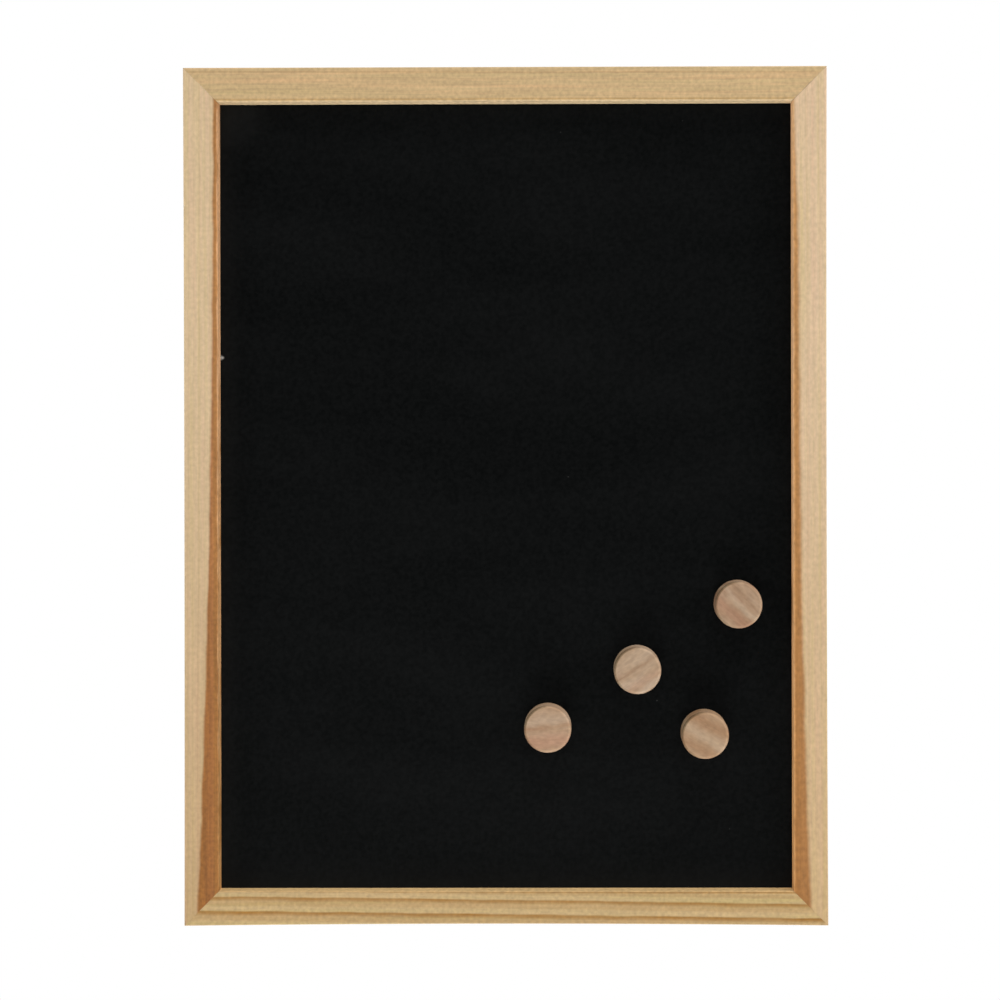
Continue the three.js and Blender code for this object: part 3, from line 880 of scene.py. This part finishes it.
def sanded_beech(name, centre, front, turn, pale, dark, seed, bands):
    """Unfinished beech, sanded flat: soft tan and pinkish brown bands along the grain, hair-fine pores,
    and painted light: a highlight on the rounded front edge, shade where that edge turns away, a side
    painted lighter, and shade to the upper left and the left.
    The pattern is in millimetres from the disc's middle: x along the grain, z across it."""
    material, tree, shader = new_material(name)
    place = add(tree, "ShaderNodeTexCoord").outputs["Object"]
    grain = add(
        tree, "ShaderNodeMapping",
        {"Vector": place, "Location": (centre.x, front, centre.z), "Rotation": (0, turn, 0),
         "Scale": (0.001,) * 3},
        vector_type="TEXTURE",
    )
    along, _, across = add(tree, "ShaderNodeSeparateXYZ", [grain]).outputs

    # What varies in the wood, moved by the disc's own number, each with its size in millimetres
    noises = []
    for offset, size, detail in (
        ((seed, seed, seed), (40, 8, 5), 3.0),
        ((-seed, seed, 0), (13, 8, 9), 2.0),
        ((seed, 0, 0), (6, 0.6, 0.45), 3.0),
        ((0, seed, 0), (2.6, 1.5, 1.5), 1.0),
    ):
        scaled = add(
            tree, "ShaderNodeMapping",
            {"Vector": grain, "Location": offset, "Scale": [1 / mm for mm in size]},
        )
        noises.append(
            add(tree, "ShaderNodeTexNoise", {"Vector": scaled, "Scale": 1.0, "Detail": detail})
        )
    bows, waves, fibres, pores = noises
    bows.inputs["Roughness"].default_value = 0.55
    wood = add(tree, "ShaderNodeValToRGB", [bows], [(0.3, dark), (0.5, pale[0]), (0.7, pale[1])])

    # Bands that the turner's cut happens to show on this disc, wavy and soft at their edges
    wave = 7.0
    softened = 1.3
    toned = wood
    bent = add(tree, "ShaderNodeMath", [waves, wave, across], operation="MULTIPLY_ADD")
    for middle, half, hex_colour, amount in bands:
        off = add(tree, "ShaderNodeMath", [bent, middle + wave / 2], operation="SUBTRACT")
        away = add(tree, "ShaderNodeMath", [off], operation="ABSOLUTE")
        band = add(
            tree, "ShaderNodeMapRange", [away, 0.0, half * softened, amount, 0.0],
            interpolation_type="SMOOTHSTEP",
        )
        toned = add(tree, "ShaderNodeMix", [band, toned, hex_colour], data_type="RGBA")

    fibre_tone = add(tree, "ShaderNodeMapRange", [fibres, 0.25, 0.75, 0.92, 1.07])
    pore_tone = add(tree, "ShaderNodeMapRange", [pores, 0.3, 0.7, 0.9, 1.09])

    # The flat face ends 10.2 mm from the middle, and the side lies 11 mm from it
    spread = add(tree, "ShaderNodeCombineXYZ", [along, 0.0, across])
    radius = add(tree, "ShaderNodeVectorMath", [spread], operation="LENGTH").outputs["Value"]
    # Painted light: a highlight on the rounded front edge, painted shade on its outer part where it turns
    # away, and the side painted lighter
    rim_highlight = add(tree, "ShaderNodeMapRange", [radius, 9.5, 10.1, 1.0, 1.24])
    edge_shade = add(tree, "ShaderNodeMapRange", [radius, 10.4, 10.9, 1.0, 0.55])
    on_side = add(tree, "ShaderNodeMapRange", [radius, 10.94, 10.98, 0.0, 1.0])
    side_light = add(tree, "ShaderNodeMapRange", [on_side, 0.0, 1.0, 1.0, 1.32])
    tone = add(tree, "ShaderNodeMath", [fibre_tone, pore_tone], operation="MULTIPLY")
    for part in (rim_highlight, edge_shade, side_light):
        tone = add(tree, "ShaderNodeMath", [tone, part], operation="MULTIPLY")

    # Painted shade: the rounded front edge darker to the upper left, and the rounded edge and side darker
    # to the left, away from the light
    near_rim = add(
        tree, "ShaderNodeMapRange", [radius, 9.6, 10.3, 0.0, 1.0], interpolation_type="SMOOTHSTEP"
    )
    rim_alone = add(tree, "ShaderNodeMath", [near_rim, on_side], operation="SUBTRACT")
    shaded_wood = toned
    for lean, start, colour, part in (
        (quarter / 2, 6.0, "BCBCB0", rim_alone),
        (quarter, 0.0, "C8C6BC", near_rim),
    ):
        direction = (-math.sin(turn + lean), 0.0, math.cos(turn + lean))
        towards = add(tree, "ShaderNodeVectorMath", [spread, direction], operation="DOT_PRODUCT")
        facing = add(tree, "ShaderNodeMapRange", [towards.outputs["Value"], start, 10.2, 0.0, 1.0])
        shade_mask = add(tree, "ShaderNodeMath", [facing, part], operation="MULTIPLY")
        shade = add(tree, "ShaderNodeMix", [shade_mask, "FFFFFF", colour], data_type="RGBA")
        shaded_wood = add(
            tree, "ShaderNodeMix", [1.0, shaded_wood, shade], data_type="RGBA", blend_type="MULTIPLY"
        )
    surface = add(tree, "ShaderNodeMix", [1.0, shaded_wood, tone], data_type="RGBA", blend_type="MULTIPLY")
    tree.links.new(surface.outputs[2], shader.inputs["Base Color"])
    shader.inputs["Roughness"].default_value = 0.66
    shader.inputs["Specular IOR Level"].default_value = 0.25
    bump = add(tree, "ShaderNodeBump", {"Strength": 0.3, "Distance": 0.00005, "Height": fibres})
    tree.links.new(bump.outputs[0], shader.inputs["Normal"])
    return material


degree = math.pi / 180
# Each disc's turn of the grain, its two pale tones, its dark one, a number that makes its pattern
# its own, and its bands: middle and half width in millimetres, colour, and how strong it is
discs = {
    1: (-4 * degree, ("A6896D", "B09379"), "9C785D", 3.1,
        [(4.2, 3.0, "AF967E", 0.75), (1.0, 1.3, "926E52", 0.28), (-6.0, 4.5, "AC8168", 0.6)]),
    2: (-33 * degree, ("A88D72", "B39B84"), "9D7C64", 7.7,
        [(1.5, 1.0, "86674D", 0.32), (5.5, 3.0, "B0987F", 0.5), (-6.0, 3.0, "A58065", 0.5)]),
    3: (42 * degree, ("A18469", "AE937A"), "957157", 12.3,
        [(0.5, 1.6, "B29A81", 0.7), (4.0, 1.0, "836248", 0.32), (-5.5, 4.5, "9A7056", 0.65)]),
    4: (30 * degree, ("A58769", "B09277"), "9A7758", 19.9,
        [(-0.5, 3.2, "B39A7F", 0.7), (6.0, 3.5, "916B4B", 0.6), (-7.0, 3.2, "967152", 0.5)]),
}
for number, (turn, pale, dark, seed, bands) in discs.items():
    node = f"wooden_disc_{number}"
    low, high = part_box(node)
    centre = (low + high) / 2
    disc = as_piece(turned_disc(centre, low.y), f"turned_beech_disc_{number}", math.radians(40))
    flat_shading(disc)
    disc.data.materials.append(
        sanded_beech(f"sanded_beech_{number}", centre, low.y, turn, pale, dark, seed, bands)
    )
    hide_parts(node)
    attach(disc, f"magnet_{number}")

# Disc magnets
# A nickel plated neodymium disc, 12 by 3 mm, glued into each pocket flush with the wood. It
# grips the steel sheet.

magnet_round = 0.00025
nickel_plate = bare_metal("nickel_plating", "B5B2AA", 0.2, 0.06, (0.8, 0.8, 0.8))
for number in discs:
    node = f"disc_magnet_{number}"
    low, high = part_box(node)
    centre = (low + high) / 2
    magnet_shape = round_bar((high.x - low.x) / 2, low.y, high.y, centre.x, centre.z, 64)
    rims = [
        edge for edge in magnet_shape.edges if abs(edge.verts[0].co.y - edge.verts[1].co.y) < same
    ]
    round_over(magnet_shape, rims, magnet_round, 3)
    magnet = as_piece(magnet_shape, f"plated_disc_magnet_{number}")
    flat_shading(magnet)
    magnet.data.materials.append(nickel_plate)
    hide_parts(node)
    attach(magnet, f"magnet_{number}")

# Studio
# A pale floor well below the hanging board, even light from all round, and soft lamps above,
# below and to both sides that rake across the board and light the walls of its recess.

floor_radius = 1.2
floor_middle = (0, 0.05, outer_bottom - 0.8)
floor_shape = bmesh.new()
bmesh.ops.create_circle(floor_shape, cap_ends=True, segments=96, radius=floor_radius)
bmesh.ops.translate(floor_shape, verts=floor_shape.verts, vec=floor_middle)
floor = as_piece(floor_shape, "studio_floor")
floor_paint, floor_tree, floor_shader = new_material("pale_studio_floor")
floor_place = add(floor_tree, "ShaderNodeTexCoord").outputs["Object"]
from_middle = add(
    floor_tree, "ShaderNodeVectorMath", [floor_place, floor_middle], operation="DISTANCE"
).outputs["Value"]
to_rim = add(floor_tree, "ShaderNodeMapRange", [from_middle, 0.3, 1.15, 0.3, 0.75])
floor_path = add(floor_tree, "ShaderNodeLightPath")
seen = add(
    floor_tree, "ShaderNodeMath",
    [floor_path.outputs["Is Camera Ray"], floor_path.outputs["Is Glossy Ray"]], operation="MAXIMUM",
)
glow = add(floor_tree, "ShaderNodeMath", [seen, to_rim], operation="MULTIPLY")
floor_shader.inputs["Base Color"].default_value = srgb("EDEDEB")
floor_shader.inputs["Roughness"].default_value = 0.9
floor_shader.inputs["Specular IOR Level"].default_value = 0.1
floor_shader.inputs["Emission Color"].default_value = (1, 1, 1, 1)
floor_tree.links.new(glow.outputs[0], floor_shader.inputs["Emission Strength"])
floor.data.materials.append(floor_paint)

studio = bpy.data.worlds.new("studio")
bpy.context.scene.world = studio
studio.use_nodes = True
room = studio.node_tree
room_path = add(room, "ShaderNodeLightPath")
seen = add(
    room, "ShaderNodeMath",
    [room_path.outputs["Is Camera Ray"], room_path.outputs["Is Glossy Ray"]], operation="MAXIMUM",
)
seen = add(
    room, "ShaderNodeMath", [seen, room_path.outputs["Is Transmission Ray"]], operation="MAXIMUM"
)
level = add(room, "ShaderNodeMapRange", [seen, 0.0, 1.0, 0.37, 1.0])
room.nodes["Background"].inputs["Color"].default_value = (1, 1, 1, 1)
room.links.new(level.outputs[0], room.nodes["Background"].inputs["Strength"])

# Each lamp: how bright it makes a white face turned to it, its size, how far off, and where
board_face = Vector((0, -rail_depth, frame_middle.z))
for name, brightness, size, distance, direction in (
    ("soft_lamp_above", 0.65, 0.8, 1.5, (0.15, -0.25, 0.95)),
    ("soft_lamp_right", 0.6, 0.8, 1.5, (0.95, -0.25, 0.12)),
    ("soft_lamp_below", 0.8, 0.6, 1.0, (0.0, -0.28, -0.96)),
    ("soft_lamp_left", 0.5, 0.8, 1.5, (-0.96, -0.25, 0.0)),
    ("soft_lamp_behind", 0.4, 0.8, 1.5, (-0.4, 0.86, 0.33)),
):
    lamp = bpy.data.lights.new(name, "AREA")
    lamp.energy = brightness * (math.pi * distance) ** 2
    lamp.shape = "DISK"
    lamp.size = size
    away = Vector(direction).normalized()
    stand = bpy.data.objects.new(name, lamp)
    stand.location = board_face + away * distance
    stand.rotation_euler = (-away).to_track_quat("-Z", "Y").to_euler()
    bpy.context.scene.collection.objects.link(stand)

bpy.context.scene.view_settings.view_transform = "Standard"

# Camera
# In front of the board, 65 cm away, with a normal lens. It stands a little to the right of the
# board's middle and above it, with the board shifted back into the picture, and leans a touch.

camera_data = bpy.data.cameras.new("camera")
camera_data.lens = 50
camera_data.sensor_width = 36
camera_data.shift_x = -0.0681
camera_data.shift_y = -0.0425
camera = bpy.data.objects.new("camera", camera_data)
lean = Matrix.Rotation(0.11 * degree, 4, "Y")
swing = Matrix.Rotation(0.24 * degree, 4, "Z")
camera.matrix_world = (
    Matrix.Translation((0.032, -0.6622, -0.1747)) @ swing @ lean @ Matrix.Rotation(quarter, 4, "X")
)
bpy.context.scene.collection.objects.link(camera)
bpy.context.scene.camera = camera
